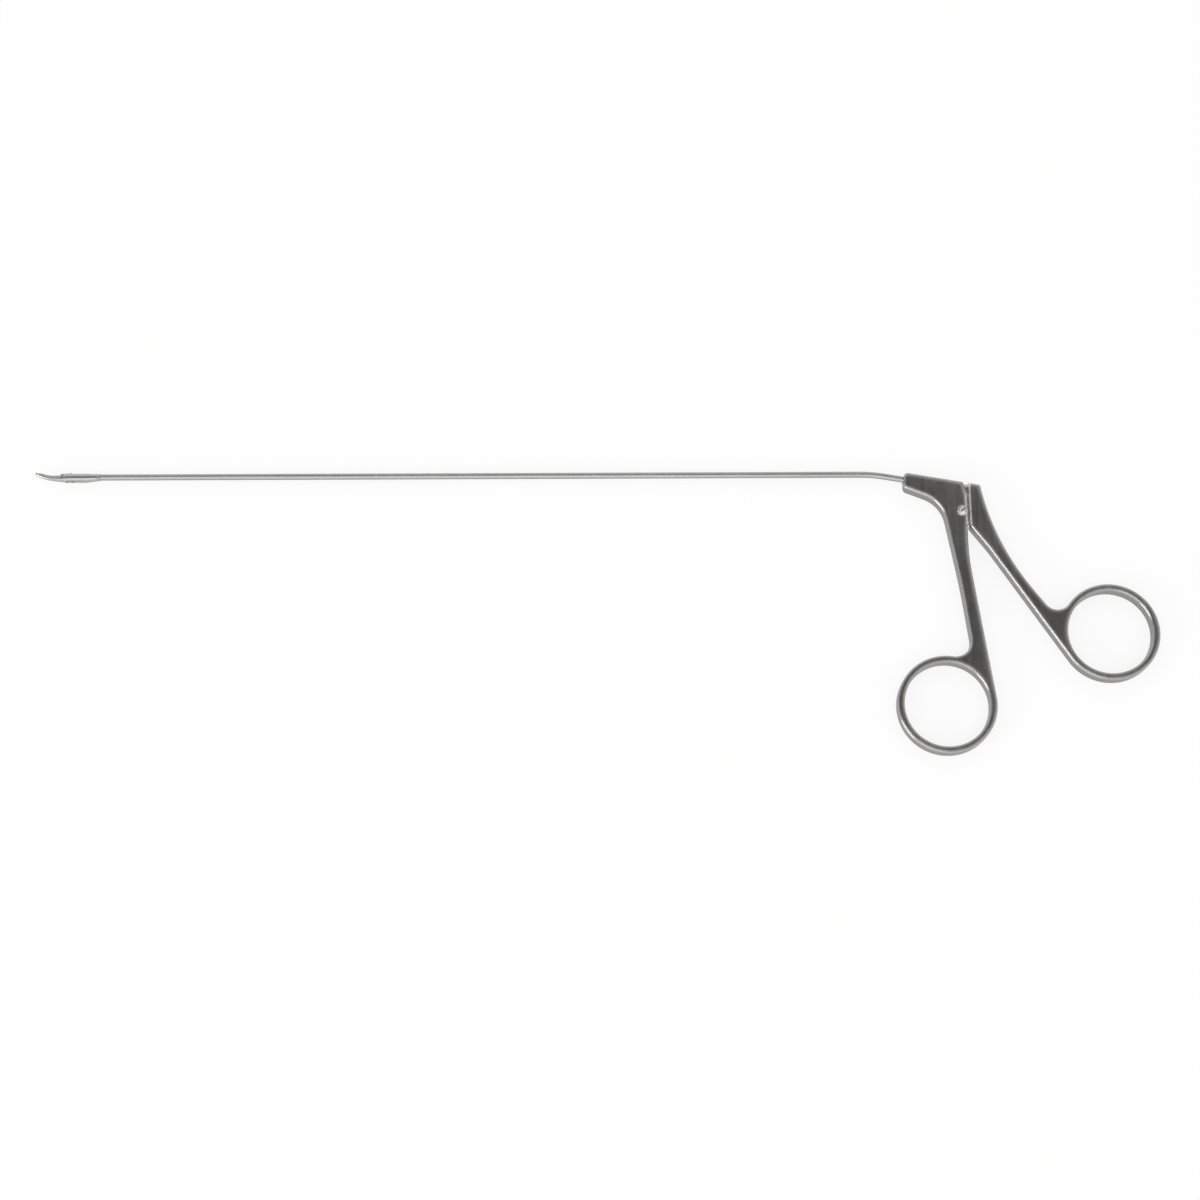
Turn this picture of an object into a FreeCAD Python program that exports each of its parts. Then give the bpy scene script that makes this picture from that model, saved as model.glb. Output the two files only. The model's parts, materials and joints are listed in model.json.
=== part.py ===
import FreeCAD, Part

import math
import os

# Ring-handled forceps with a long thin shaft and toothed jaws, closed, lying flat on one side.
# +X runs along the straight shaft from the jaws to the handles, +Y points from the rings to the shaft
# and +Z is the thickness. While it is drawn, x = y = 0 is the axis of the handles' pivot screw and z = 0
# is the middle of the handles' thickness. Sizes are in millimetres and angles in degrees.

# Handles
HANDLE_THICKNESS = 4.0
EDGE_CHAMFER = 0.4
RING_BORE_RADIUS = 10.8
RING_BAND = 1.8
FINGER_RING_CENTRE = (-6.1, -51.08)
THUMB_RING_CENTRE = (36.2, -32.4)
CROTCH_ROUND = 3.6
WEB_ROUND = 4.2
BLOCK_END_X = -14.75
BLOCK_FOOT_Y = 6.25
NOSE_ROUND = 1.15
THROAT_CORNER = (-5.11, 2.42)
THROAT_ROUND = 8.5
SHANK_HOLLOW = (-1.15, -20.0)
SHANK_HOLLOW_ROUND = 200.0
WEB_CORNER = (0.5, -33.0)
CHEEK_EDGE_X = 1.15
CHEEK_RELIEF = 0.7
RELIEF_FOOT_Y = 3.8
RELIEF_ROUND = 3.0
SEAM_FOOT_Y = -12.4
SEAM_FOOT_ROUND = 60.0
SEAM_GAP = 0.75
SEAM_STOCK = 1.5
TOP_SLOPE = -0.178
TOP_EDGE_ABOVE_ROD = 1.45
REAR_CORNER_X = 4.95
CORNER_ROUND = 0.6
HIP = (8.96, -6.65)
KNEE = (17.44, -21.37)
HEEL_Y = -4.1
WAIST = (6.6, -10.28)
WAIST_ROUND = 30.0

# Fork slot in the fixed handle, and the tang that turns in it
SLOT_WIDTH = 1.7
TANG_SIDE_GAP = 0.05
SLOT_WALL_X = -7.5
SLOT_WALL_FOOT_Y = 6.3
SLOT_WALL_ROUND = 0.8
TANG_LOBE_RADIUS = 3.3
TANG_HEAD_RADIUS = 1.2
TANG_ROOT = 0.8
SLOT_FLOOR_GAP = 0.25

# Pivot screw
SCREW_SHANK_RADIUS = 0.9
SCREW_HEAD_RADIUS = 1.4
SCREW_HEAD_HEIGHT = 0.9
SCREW_RIM_HEIGHT = 0.3
SCREW_RECESS = 0.25
SCREW_SLOT_WIDTH = 0.45
SCREW_SLOT_DEPTH = 0.4
SCREW_SLOT_ANGLE = 35.0
RUNNING_GAP = 0.03

# Linkage: the tang's arm pushes the rod, and the rod swings the jaw's tail
HANDLE_TRAVEL = 8.5
JAW_TRAVEL = 40.0
TAIL_ARM = 1.4
LINK_GAP = 0.06

# Shaft
TUBE_RADIUS = 0.8
TUBE_BORE_RADIUS = 0.55
BEND_ANGLE = 10.0
BEND_RADIUS = 36.0
BEND_VERTEX_X = -22.6
ROD_RADIUS = 0.35
BRAZE_GAP = 0.01

# Rod ends
CROSS_PIN_RADIUS = 0.4
EYE_RADIUS = 0.85
EYE_THICKNESS = 0.56
EYE_SIDE_GAP = 0.05
EYE_SLIT_GAP = 0.2
EYE_SHANK_RADIUS = 0.5
EYE_SHANK_LENGTH = 2.6
EYE_NECK_LENGTH = 3.6
NECK_INSET = 0.05
NECK_LAP = 0.6
TONGUE_THICKNESS = 0.38
TONGUE_LENGTH = 4.2
TONGUE_STEP = 1.7
TONGUE_HALF_NECK = 0.3
TONGUE_LAP = 0.5
TONGUE_SHANK_RADIUS = 0.45
TONGUE_SHANK_LENGTH = 1.8
SPIGOT_RADIUS = 0.22
SPIGOT_LENGTH = 1.2

# Jaws and their housing
JAW_PIVOT_X = -231.06
JAW_PIVOT_ABOVE_SHAFT = 0.46
JAW_PIN_RADIUS = 0.25
TAIL_PIN_RADIUS = 0.2
JAW_HUB_RADIUS = 0.62
TAIL_BOSS_RADIUS = 0.42
JAW_SLOT_WIDTH = 0.92
JAW_SIDE_GAP = 0.04
TAIL_HALF_WIDTH = 0.5
HOUSING_RADIUS = 1.2
HOUSING_DROP = 0.2
HOUSING_AHEAD = 1.94
HOUSING_NOSE = 0.9
HOUSING_NOSE_DROP = 0.15
HOUSING_BARREL = 6.1
HOUSING_CONE = 3.6
HOUSING_END_WALL = 0.1
HOUSING_SILL = 0.85
CHAMBER_MOUTH = 2.75
CHAMBER_THROAT = 3.9
SOCKET_DEPTH = 2.6
SHOULDER_GAP = 0.12
JAW_STRAIGHT = 1.6
JAW_CURVE_RADIUS = 12.0
PARTING_BELOW_SHAFT = 0.17
PARTING_GAP = 0.05
TOOTH_PITCH = 0.5
TOOTH_DEPTH = 0.2
UPPER_JAW_LENGTH = 6.55
LOWER_JAW_LENGTH = 7.4
UPPER_JAW_FLATNESS = 0.85
LOWER_JAW_FLATNESS = 0.98
UPPER_JAW_START = 0.6
FIRST_TOOTH = 0.45

# Both jaws taper alike: share of the jaw's length from the housing's front, share of the housing's radius.
JAW_TAPER = ((-0.1, 0.95), (0.0, 0.91), (0.18, 0.77), (0.4, 0.65), (0.65, 0.59), (0.86, 0.55), (0.955, 0.49), (1.0, 0.3))

TOUCH = 1e-6
OVERRUN = 2.0


def point(x, y, z=0.0):
    return FreeCAD.Vector(x, y, z)


def toward(degrees):
    """Unit vector in the XY plane."""
    return point(math.cos(math.radians(degrees)), math.sin(math.radians(degrees)))


def unit(vector):
    return vector * (1.0 / vector.Length)


def corner_arc(before, corner, after, radius):
    """Start, middle and end of the arc that rounds a corner."""
    back = unit(before - corner)
    ahead = unit(after - corner)
    half = back.getAngle(ahead) / 2
    reach = radius / math.tan(half)
    inward = unit(back + ahead)
    centre = corner + inward * (radius / math.sin(half))
    return (corner + back * reach, centre - inward * radius, corner + ahead * reach)


def tangent_point(start, centre, radius, side):
    """Where a line from start touches a circle. side is +1 or -1."""
    reach = start - centre
    swing = side * math.acos(radius / reach.Length)
    angle = math.atan2(reach.y, reach.x) + swing
    return centre + point(math.cos(angle), math.sin(angle)) * radius


def crotch_arc(on_line, direction, normal, centre, ring_radius, radius):
    """Arc tangent to a line on its normal's side and to the outside of a ring, from the line to the ring."""
    ahead = unit(direction)
    aside = unit(normal)
    base = on_line + aside * radius - centre
    along = base.dot(ahead)
    spare = along * along - base.dot(base) + (ring_radius + radius) ** 2
    middle = on_line + aside * radius + ahead * (-along - math.sqrt(spare))
    to_ring = unit(centre - middle)
    bisector = unit(to_ring - aside)
    return (middle - aside * radius, middle + bisector * radius, middle + to_ring * radius)


def ring_arc(start, end, centre, radius):
    """The long way round a ring from start to end."""
    far = unit(centre - (start + end) * 0.5)
    return (start, centre + far * radius, end)


def outline(steps):
    """Closed face. Each step is (point,) or an arc of (start, middle, end); straight lines join the steps."""
    edges = []
    last = steps[-1][-1]
    for step in steps:
        if (step[0] - last).Length > TOUCH:
            edges.append(Part.makeLine(last, step[0]))
        if len(step) == 3:
            edges.append(Part.Arc(*step).toShape())
        last = step[-1]
    return Part.Face(Part.Wire(edges))


def round_upright(solid, x, y, radius):
    """Rounds the one upright edge that stands at x, y."""
    foot = point(x, y)
    chosen = []
    for edge in solid.Edges:
        places = [point(vertex.X, vertex.Y) for vertex in edge.Vertexes]
        if all((place - foot).Length < TOUCH for place in places):
            chosen.append(edge)
    return solid.makeFillet(radius, chosen)


def slab(face, low, high):
    """A face in the XY plane, given thickness from z = low to z = high."""
    solid = face.extrude(point(0, 0, high - low))
    solid.translate(point(0, 0, low))
    return solid


def post(x, y, radius, low, high):
    return Part.makeCylinder(radius, high - low, point(x, y, low))


def break_edges(solid, size, levels):
    """Chamfers every edge that lies at one of the z levels."""
    chosen = []
    for edge in solid.Edges:
        box = edge.BoundBox
        if any(abs(box.ZMin - level) < TOUCH and abs(box.ZMax - level) < TOUCH for level in levels):
            chosen.append(edge)
    return solid.makeChamfer(size, chosen)


HALF_THICKNESS = HANDLE_THICKNESS / 2
RING_RADIUS = RING_BORE_RADIUS + RING_BAND
HALF_TANG = SLOT_WIDTH / 2 - TANG_SIDE_GAP
HALF_EYE_SLIT = EYE_THICKNESS / 2 + EYE_SIDE_GAP
HALF_JAW_ROOT = JAW_SLOT_WIDTH / 2 - JAW_SIDE_GAP
SHOULDER_X = CHEEK_EDGE_X + SEAM_GAP

# The rod's stroke follows from the jaw's tail, and the tang's arm from the stroke. Both arms swing evenly
# about the upright, so that their pins move along the shaft.
HALF_JAW_TRAVEL = JAW_TRAVEL / 2
HALF_HANDLE_TRAVEL = HANDLE_TRAVEL / 2
ROD_STROKE = 2 * TAIL_ARM * math.sin(math.radians(HALF_JAW_TRAVEL))
TANG_ARM = ROD_STROKE / (2 * math.sin(math.radians(HALF_HANDLE_TRAVEL)))
CROSS_PIN = toward(90 - HALF_HANDLE_TRAVEL) * TANG_ARM

# The shaft's sloping end points straight at the cross pin.
SLOPE_DIRECTION = toward(-BEND_ANGLE)
BEND_VERTEX = CROSS_PIN - SLOPE_DIRECTION * ((CROSS_PIN.x - BEND_VERTEX_X) / math.cos(math.radians(BEND_ANGLE)))
SHAFT_Y = BEND_VERTEX.y
JAW_PIVOT = point(JAW_PIVOT_X, SHAFT_Y + JAW_PIVOT_ABOVE_SHAFT)
TAIL_PIN = JAW_PIVOT + toward(-90 + HALF_JAW_TRAVEL) * TAIL_ARM

# Half-way through its swing each pin stands a little farther from its pivot than at the ends, so each of
# the rod's eyes sits at the middle height of its pin.
TONGUE_EYE = TAIL_PIN - point(0, TAIL_ARM * (1 - math.cos(math.radians(HALF_JAW_TRAVEL))) / 2)
ROD_EYE = CROSS_PIN + point(0, TANG_ARM * (1 - math.cos(math.radians(HALF_HANDLE_TRAVEL))) / 2)
HOUSING_Y = SHAFT_Y - HOUSING_DROP
HOUSING_FRONT_X = JAW_PIVOT_X - HOUSING_AHEAD
HOUSING_TAPER_X = HOUSING_FRONT_X + HOUSING_BARREL
HOUSING_END_X = HOUSING_TAPER_X + HOUSING_CONE
JAW_CURVE_START_X = HOUSING_FRONT_X - JAW_STRAIGHT
PARTING_Y = SHAFT_Y - PARTING_BELOW_SHAFT
TONGUE_SHANK_X = TAIL_PIN.x + TONGUE_LENGTH
ROD_START_X = TONGUE_SHANK_X + TONGUE_SHANK_LENGTH
ROD_END_X = CROSS_PIN.x - EYE_NECK_LENGTH - EYE_SHANK_LENGTH


def top_edge(x):
    """Height of the handles' common top edge."""
    return CROSS_PIN.y + TOP_EDGE_ABOVE_ROD + TOP_SLOPE * (x - CROSS_PIN.x)


def on_slope(x):
    """Point of the sloping shaft's axis at x."""
    return BEND_VERTEX + SLOPE_DIRECTION * ((x - BEND_VERTEX.x) / math.cos(math.radians(BEND_ANGLE)))


def shaft_path(start_x, end_x):
    """The shaft's axis as a wire: straight, bent and straight again."""
    start = point(start_x, SHAFT_Y)
    end = on_slope(end_x)
    bend = corner_arc(start, BEND_VERTEX, end, BEND_RADIUS)
    edges = [Part.makeLine(start, bend[0]), Part.Arc(*bend).toShape(), Part.makeLine(bend[2], end)]
    return Part.Wire(edges)


def along_shaft(start_x, end_x, radius):
    """Round bar that follows the shaft's axis."""
    circle = Part.makeCircle(radius, point(start_x, SHAFT_Y), point(1, 0))
    return shaft_path(start_x, end_x).makePipeShell([Part.Wire(circle)], True, False)


def along_slope(start_x, end_x, radius):
    """Round bar on the sloping part of the shaft's axis."""
    start = on_slope(start_x)
    reach = on_slope(end_x) - start
    return Part.makeCylinder(radius, reach.Length, start, reach)


def front_handle_outline():
    """The fixed handle's blank, with stock beyond the seam."""
    centre = point(*FINGER_RING_CENTRE)
    block_top = point(BLOCK_END_X, top_edge(BLOCK_END_X))
    block_foot = point(BLOCK_END_X, BLOCK_FOOT_Y)
    throat = point(*THROAT_CORNER)
    hollow = point(*SHANK_HOLLOW)
    shank = point(*WEB_CORNER) - hollow
    stock_x = CHEEK_EDGE_X + SEAM_STOCK
    stock_foot = point(CHEEK_EDGE_X, HEEL_Y)
    seam_foot = point(CHEEK_EDGE_X, SEAM_FOOT_Y)
    touch = tangent_point(seam_foot, centre, RING_RADIUS, -1)
    web = crotch_arc(hollow, shank, point(shank.y, -shank.x), centre, RING_RADIUS, WEB_ROUND)
    steps = [
        corner_arc(block_foot, block_top, point(stock_x, top_edge(stock_x)), NOSE_ROUND),
        (point(stock_x, top_edge(stock_x)),),
        (point(stock_x, HEEL_Y),),
        (stock_foot,),
        corner_arc(stock_foot, seam_foot, touch, SEAM_FOOT_ROUND),
        ring_arc(touch, web[2], centre, RING_RADIUS),
        tuple(reversed(web)),
        corner_arc(web[0], hollow, throat, SHANK_HOLLOW_ROUND),
        corner_arc(hollow, throat, block_foot, THROAT_ROUND),
        corner_arc(throat, block_foot, block_top, NOSE_ROUND),
    ]
    return outline(steps)


def seam_cutter():
    """What the seam takes off the fixed handle's blank. Its edges stay crisp, and its top leans back."""
    relief_x = CHEEK_EDGE_X - CHEEK_RELIEF
    relief_foot = point(CHEEK_EDGE_X, RELIEF_FOOT_Y)
    cheek_top = relief_foot + (point(relief_x, top_edge(relief_x)) - relief_foot) * 2
    low = point(CHEEK_EDGE_X, HEEL_Y - OVERRUN)
    far = CHEEK_EDGE_X + SEAM_STOCK + OVERRUN
    steps = [
        (cheek_top,),
        corner_arc(cheek_top, relief_foot, low, RELIEF_ROUND),
        (low,),
        (point(far, low.y),),
        (point(far, cheek_top.y),),
    ]
    return slab(outline(steps), -HANDLE_THICKNESS, HANDLE_THICKNESS)


def slot_cutter():
    """The fork's slot, open above and on the seam side, with a round floor that clears the tang's lobe."""
    radius = TANG_LOBE_RADIUS + SLOT_FLOOR_GAP
    wall_foot = point(SLOT_WALL_X, SLOT_WALL_FOOT_Y)
    floor_start = tangent_point(wall_foot, point(0, 0), radius, 1)
    high = top_edge(SLOT_WALL_X) + OVERRUN
    wide = SHOULDER_X + OVERRUN
    steps = [
        (point(SLOT_WALL_X, high),),
        corner_arc(point(SLOT_WALL_X, high), wall_foot, floor_start, SLOT_WALL_ROUND),
        (floor_start, toward(225) * radius, point(0, -radius)),
        (point(wide, -radius),),
        (point(wide, high),),
    ]
    return slab(outline(steps), -SLOT_WIDTH / 2, SLOT_WIDTH / 2)


def make_front_handle():
    body = slab(front_handle_outline(), -HALF_THICKNESS, HALF_THICKNESS)
    body = body.cut(post(*FINGER_RING_CENTRE, RING_BORE_RADIUS, -HANDLE_THICKNESS, HANDLE_THICKNESS))
    body = break_edges(body, EDGE_CHAMFER, (-HALF_THICKNESS, HALF_THICKNESS))
    body = body.cut(seam_cutter()).cut(slot_cutter())
    body = body.cut(along_slope(BLOCK_END_X - OVERRUN, SLOT_WALL_X + OVERRUN, TUBE_RADIUS + BRAZE_GAP))
    screw_hole = post(0, 0, SCREW_SHANK_RADIUS + BRAZE_GAP, -HANDLE_THICKNESS, HANDLE_THICKNESS)
    return body.cut(screw_hole)


def rear_handle_outline():
    """The moving handle's blank, with stock beyond the seam."""
    centre = point(*THUMB_RING_CENTRE)
    stock_x = SHOULDER_X - SEAM_STOCK
    top_left = point(stock_x, top_edge(stock_x))
    top_right = point(REAR_CORNER_X, top_edge(REAR_CORNER_X))
    back = (top_right, point(*HIP), point(*KNEE))
    curve = Part.Arc(*back)
    shank = curve.tangent(curve.LastParameter)[0]
    shank = shank * math.copysign(1, shank.x)
    crotch = crotch_arc(back[2], shank, point(-shank.y, shank.x), centre, RING_RADIUS, CROTCH_ROUND)
    waist = point(*WAIST)
    heel = point(SHOULDER_X, HEEL_Y)
    stock_foot = heel + (heel - waist) * (SEAM_STOCK / (waist.x - heel.x))
    touch = tangent_point(waist, centre, RING_RADIUS, 1)
    steps = [
        (top_left,),
        back,
        crotch,
        ring_arc(crotch[2], touch, centre, RING_RADIUS),
        corner_arc(touch, waist, heel, WAIST_ROUND),
        (stock_foot,),
    ]
    return outline(steps)


def tang_outline():
    """Plate in the slot: a lobe round the screw and an arm up to the cross pin."""
    lobe = TANG_LOBE_RADIUS
    arm_foot = tangent_point(CROSS_PIN, point(0, 0), lobe, 1)
    lobe_middle = unit(unit(point(0, -1)) + unit(arm_foot)) * lobe
    lean = unit(point(0, 0) - CROSS_PIN)
    left = point(lean.y, -lean.x)
    up = point(0, 1)
    root_x = SHOULDER_X + TANG_ROOT
    steps = [
        (point(root_x, -lobe),),
        (point(0, -lobe), lobe_middle, arm_foot),
        (CROSS_PIN + left * TANG_HEAD_RADIUS, CROSS_PIN + unit(left + up) * TANG_HEAD_RADIUS,
         CROSS_PIN + up * TANG_HEAD_RADIUS),
        (point(root_x, CROSS_PIN.y + TANG_HEAD_RADIUS + TOP_SLOPE * (root_x - CROSS_PIN.x)),),
    ]
    return outline(steps)


def make_rear_handle():
    body = slab(rear_handle_outline(), -HALF_THICKNESS, HALF_THICKNESS)
    body = round_upright(body, REAR_CORNER_X, top_edge(REAR_CORNER_X), CORNER_ROUND)
    body = body.cut(post(*THUMB_RING_CENTRE, RING_BORE_RADIUS, -HANDLE_THICKNESS, HANDLE_THICKNESS))
    body = break_edges(body, EDGE_CHAMFER, (-HALF_THICKNESS, HALF_THICKNESS))
    stock = Part.makeBox(2 * SEAM_STOCK, 4 * TANG_ARM, 2 * HANDLE_THICKNESS,
                         point(SHOULDER_X - 2 * SEAM_STOCK, -2 * TANG_ARM, -HANDLE_THICKNESS))
    body = body.cut(stock)
    body = body.fuse(slab(tang_outline(), -HALF_TANG, HALF_TANG)).removeSplitter()
    slit_reach = EYE_RADIUS + EYE_SLIT_GAP
    high = CROSS_PIN.y + OVERRUN
    steps = [
        (point(-OVERRUN, high),),
        (point(-OVERRUN, CROSS_PIN.y - slit_reach),),
        (CROSS_PIN - point(0, slit_reach), CROSS_PIN + toward(-45) * slit_reach, CROSS_PIN + point(slit_reach, 0)),
        (point(CROSS_PIN.x + slit_reach, high),),
    ]
    body = body.cut(slab(outline(steps), -HALF_EYE_SLIT, HALF_EYE_SLIT))
    body = body.cut(post(0, 0, SCREW_SHANK_RADIUS + RUNNING_GAP, -HANDLE_THICKNESS, HANDLE_THICKNESS))
    cross_hole = post(CROSS_PIN.x, CROSS_PIN.y, CROSS_PIN_RADIUS + BRAZE_GAP, -HALF_TANG, HALF_TANG)
    return body.cut(cross_hole)


def make_pivot_screw():
    """Slotted screw with a domed head, its far end set a little below the fork's back."""
    face = HALF_THICKNESS
    shank = post(0, 0, SCREW_SHANK_RADIUS, -HALF_THICKNESS + SCREW_RECESS, face)
    dome_rise = SCREW_HEAD_HEIGHT - SCREW_RIM_HEIGHT
    dome_radius = (SCREW_HEAD_RADIUS ** 2 + dome_rise ** 2) / (2 * dome_rise)
    ball = Part.makeSphere(dome_radius, point(0, 0, face + SCREW_HEAD_HEIGHT - dome_radius))
    head = post(0, 0, SCREW_HEAD_RADIUS, face, face + SCREW_HEAD_HEIGHT).common(ball)
    screw = shank.fuse(head).removeSplitter()
    floor = face + SCREW_HEAD_HEIGHT - SCREW_SLOT_DEPTH
    groove = Part.makeBox(4 * SCREW_HEAD_RADIUS, SCREW_SLOT_WIDTH, OVERRUN,
                          point(-2 * SCREW_HEAD_RADIUS, -SCREW_SLOT_WIDTH / 2, floor))
    groove.rotate(point(0, 0), point(0, 0, 1), SCREW_SLOT_ANGLE)
    return screw.cut(groove)


def make_shaft_tube():
    start_x = HOUSING_END_X - SOCKET_DEPTH
    tube = along_shaft(start_x, SLOT_WALL_X, TUBE_RADIUS)
    return tube.cut(along_shaft(start_x, SLOT_WALL_X, TUBE_BORE_RADIUS))


def parting_point(distance, offset):
    """Point at a distance along the jaws' parting curve from the housing's front, offset toward +Y."""
    straight = HOUSING_FRONT_X - JAW_CURVE_START_X
    if distance <= straight:
        return point(HOUSING_FRONT_X - distance, PARTING_Y + offset)
    turned = (distance - straight) / JAW_CURVE_RADIUS
    radius = JAW_CURVE_RADIUS - offset
    x = JAW_CURVE_START_X - radius * math.sin(turned)
    return point(x, PARTING_Y + JAW_CURVE_RADIUS - radius * math.cos(turned))


def tooth_line(offset, first, last):
    """Toothed edge along the parting curve, from one distance to the other."""
    places = []
    for index in range(int((last - first) / TOOTH_PITCH)):
        root = first + index * TOOTH_PITCH
        places.append(parting_point(root, offset - TOOTH_DEPTH / 2))
        places.append(parting_point(root + TOOTH_PITCH / 2, offset + TOOTH_DEPTH / 2))
    return places


def horn(stations):
    """Tapering, curved bar round the parting curve. Each station is (distance, half width, half height)."""
    sections = []
    for distance, half_width, half_height in stations:
        centre = parting_point(distance, 0)
        wide = centre + point(0, 0, half_width)
        high = centre + unit(parting_point(distance, 1) - centre) * half_height
        ends = (wide, high) if half_width > half_height else (high, wide)
        sections.append(Part.Wire(Part.Ellipse(*ends, centre).toShape()))
    return Part.makeLoft(sections, True)


def jaw_stations(length, flatness):
    """Taper of one jaw: distance from the housing's front, half width and half height."""
    stations = []
    for share, width in JAW_TAPER:
        stations.append((share * length, width * HOUSING_RADIUS, width * HOUSING_RADIUS * flatness))
    return stations


def housing_blank():
    """Barrel with a tapered nose, that narrows to a collar on the tube."""
    along = point(1, 0)
    nose_end = point(HOUSING_FRONT_X + HOUSING_NOSE, HOUSING_Y)
    nose = Part.makeCone(HOUSING_RADIUS - HOUSING_NOSE_DROP, HOUSING_RADIUS, HOUSING_NOSE,
                         point(HOUSING_FRONT_X, HOUSING_Y), along)
    barrel = Part.makeCylinder(HOUSING_RADIUS, HOUSING_BARREL - HOUSING_NOSE, nose_end, along)
    barrel_end = Part.Wire(Part.makeCircle(HOUSING_RADIUS, point(HOUSING_TAPER_X, HOUSING_Y), along))
    collar_radius = TUBE_RADIUS + HOUSING_END_WALL
    collar = Part.Wire(Part.makeCircle(collar_radius, point(HOUSING_END_X, SHAFT_Y), along))
    return nose.fuse(barrel).fuse(Part.makeLoft([barrel_end, collar], True)).removeSplitter()


def make_fixed_jaw():
    """Housing on the tube's end, in one piece with the toothed lower jaw."""
    start = JAW_TAPER[0][0] * LOWER_JAW_LENGTH
    teeth = tooth_line(-PARTING_GAP / 2, FIRST_TOOTH, UPPER_JAW_LENGTH)
    low = point(0, -3 * HOUSING_RADIUS)
    far = parting_point(LOWER_JAW_LENGTH + OVERRUN, -TOOTH_DEPTH / 2)
    near = point(HOUSING_FRONT_X - start, PARTING_Y - TOOTH_DEPTH)
    line = [near, parting_point(0, -TOOTH_DEPTH)] + teeth + [far, far + low, near + low]
    below = slab(outline([(place,) for place in line]), -HOUSING_RADIUS, HOUSING_RADIUS)
    jaw = horn(jaw_stations(LOWER_JAW_LENGTH, LOWER_JAW_FLATNESS)).common(below)
    body = housing_blank().fuse(jaw).removeSplitter()

    half = JAW_SLOT_WIDTH / 2
    hub_clear = JAW_PIVOT.x + JAW_HUB_RADIUS + SHOULDER_GAP
    sill = HOUSING_FRONT_X + HOUSING_SILL
    bottom = HOUSING_Y - 2 * HOUSING_RADIUS
    top = HOUSING_Y + 2 * HOUSING_RADIUS
    slot_floor = PARTING_Y - TOOTH_DEPTH
    open_slot = [
        (point(HOUSING_FRONT_X - OVERRUN, top),),
        (point(HOUSING_FRONT_X - OVERRUN, PARTING_Y),),
        (point(HOUSING_FRONT_X, slot_floor),),
        (point(sill, slot_floor),),
        (point(sill, bottom),),
        (point(hub_clear, bottom),),
        (point(hub_clear, top),),
    ]
    mouth = point(JAW_PIVOT.x + CHAMBER_MOUTH, HOUSING_Y - HOUSING_RADIUS)
    throat = point(JAW_PIVOT.x + CHAMBER_THROAT, SHAFT_Y - TUBE_BORE_RADIUS)
    chamber = [
        (point(JAW_PIVOT.x, SHAFT_Y + TUBE_BORE_RADIUS),),
        (point(JAW_PIVOT.x, bottom),),
        (point(mouth.x, bottom),),
        (mouth,),
        (throat,),
        (point(HOUSING_END_X, throat.y),),
        (point(HOUSING_END_X, SHAFT_Y + TUBE_BORE_RADIUS),),
    ]
    body = body.cut(slab(outline(open_slot), -half, half))
    body = body.cut(slab(outline(chamber), -half, half))
    passage_x = TONGUE_SHANK_X - ROD_STROKE - EYE_SIDE_GAP
    passage = Part.makeCylinder(TUBE_BORE_RADIUS, HOUSING_END_X - passage_x, point(passage_x, SHAFT_Y), point(1, 0))
    socket = Part.makeCylinder(TUBE_RADIUS + BRAZE_GAP, SOCKET_DEPTH + OVERRUN,
                               point(HOUSING_END_X - SOCKET_DEPTH, SHAFT_Y), point(1, 0))
    body = body.cut(passage).cut(socket)
    hole = post(JAW_PIVOT.x, JAW_PIVOT.y, JAW_PIN_RADIUS + BRAZE_GAP, -HOUSING_RADIUS, HOUSING_RADIUS)
    return body.cut(hole)


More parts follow.
